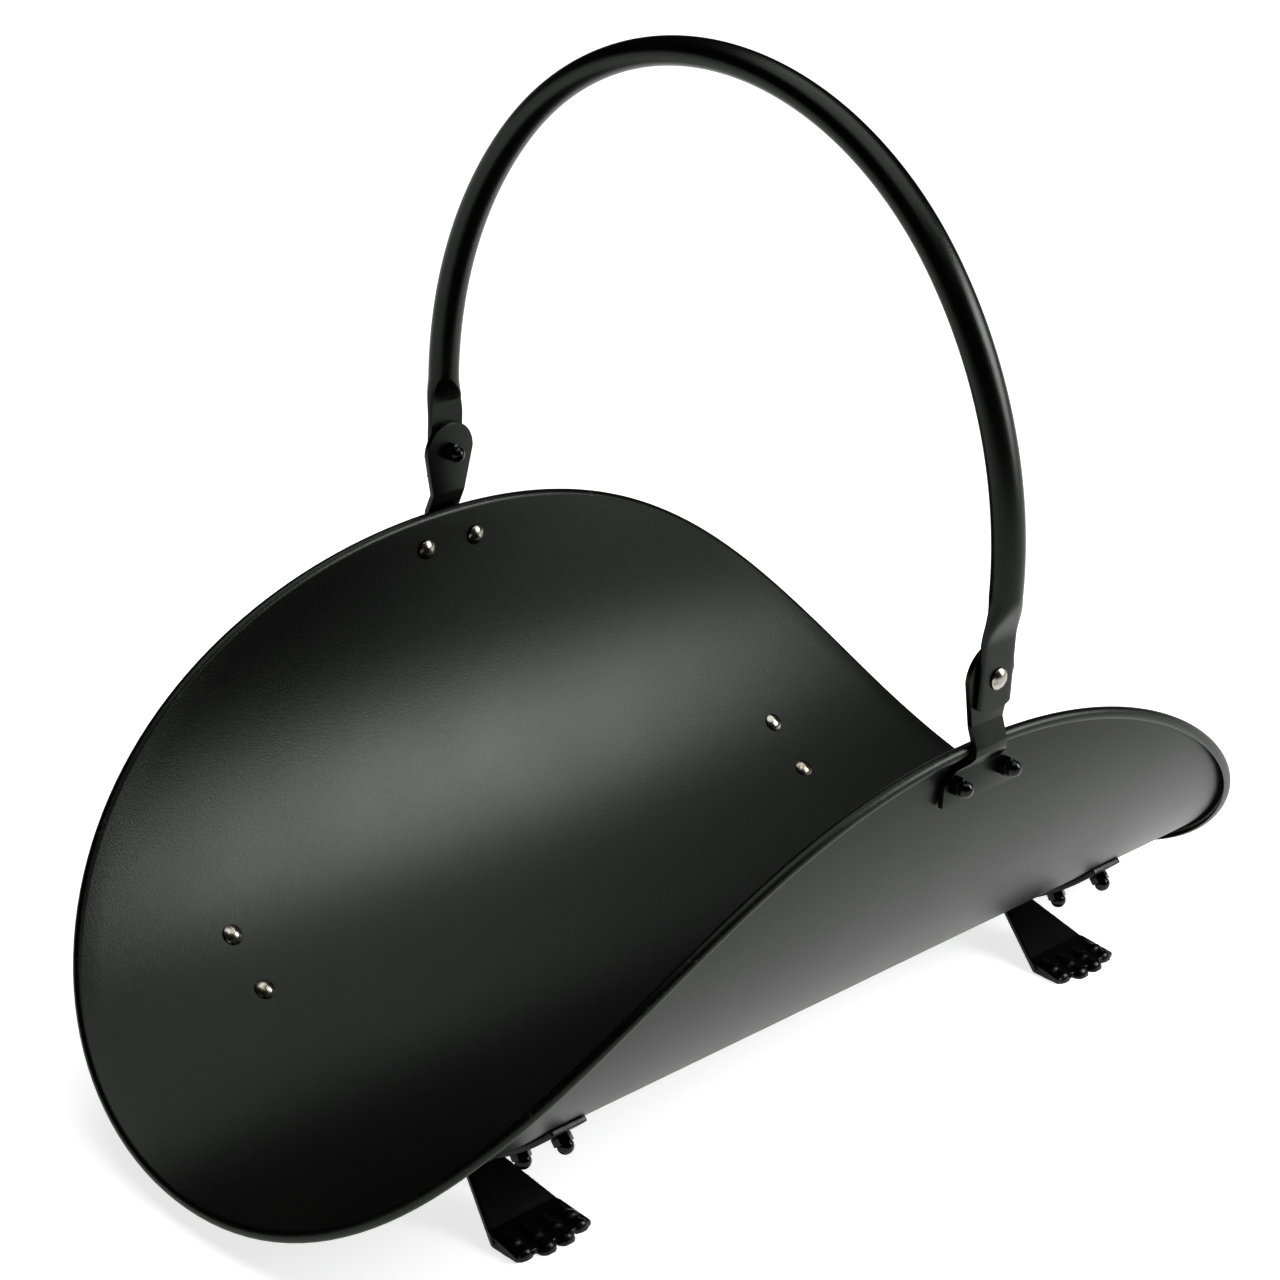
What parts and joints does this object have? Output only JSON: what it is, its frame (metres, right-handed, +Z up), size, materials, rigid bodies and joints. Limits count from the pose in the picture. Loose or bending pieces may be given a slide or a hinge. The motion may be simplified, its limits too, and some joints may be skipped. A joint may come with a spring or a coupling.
{
  "type": "firewood log rack",
  "caption": "Firewood log rack: a disc of sheet steel bent into an open trough with a rolled rim, on paw feet, with a swinging hoop handle.",
  "frame": {"origin": "on the floor, under the middle of the trough", "axes": "+Z up; X across the trough, along the handle's pivot axis; Y along the trough, where the logs lie; front is -Y"},
  "size_m": [0.3568, 0.579, 0.4631],
  "materials": {
    "sheet_black": "satin black powder coat",
    "handle_black": "satin black powder coat",
    "bracket_black": "satin black powder coat",
    "foot_black": "matt black paint",
    "bolt_plated": "dull zinc plate",
    "nut_black": "gloss black"
  },
  "bodies": {
    "basket": {"basket_sheet": "sheet_black", "right_handle_bracket": "bracket_black", "left_handle_bracket": "bracket_black", "front_right_foot": "foot_black", "rear_right_foot": "foot_black", "front_left_foot": "foot_black", "rear_left_foot": "foot_black", "front_right_foot_bolt_inner": "bolt_plated", "front_right_foot_bolt_outer": "bolt_plated", "front_right_bracket_bolt": "bolt_plated", "rear_right_foot_bolt_inner": "bolt_plated", "rear_right_foot_bolt_outer": "bolt_plated", "rear_right_bracket_bolt": "bolt_plated", "front_left_foot_bolt_inner": "bolt_plated", "front_left_foot_bolt_outer": "bolt_plated", "front_left_bracket_bolt": "bolt_plated", "rear_left_foot_bolt_inner": "bolt_plated", "rear_left_foot_bolt_outer": "bolt_plated", "rear_left_bracket_bolt": "bolt_plated", "right_pivot_bolt": "bolt_plated", "left_pivot_bolt": "bolt_plated", "front_right_foot_nut_inner": "nut_black", "front_right_foot_nut_outer": "nut_black", "front_right_bracket_nut": "nut_black", "rear_right_foot_nut_inner": "nut_black", "rear_right_foot_nut_outer": "nut_black", "rear_right_bracket_nut": "nut_black", "front_left_foot_nut_inner": "nut_black", "front_left_foot_nut_outer": "nut_black", "front_left_bracket_nut": "nut_black", "rear_left_foot_nut_inner": "nut_black", "rear_left_foot_nut_outer": "nut_black", "rear_left_bracket_nut": "nut_black", "right_pivot_nut": "nut_black", "left_pivot_nut": "nut_black"},
    "handle": {"carry_handle": "handle_black"}
  },
  "joints": [
    {"name": "handle_swing", "type": "hinge", "parent": "basket", "child": "handle", "pos_m": [0, 0, 0.23127], "axis": [1, 0, 0], "range_deg": [-110, 107]}
  ]
}
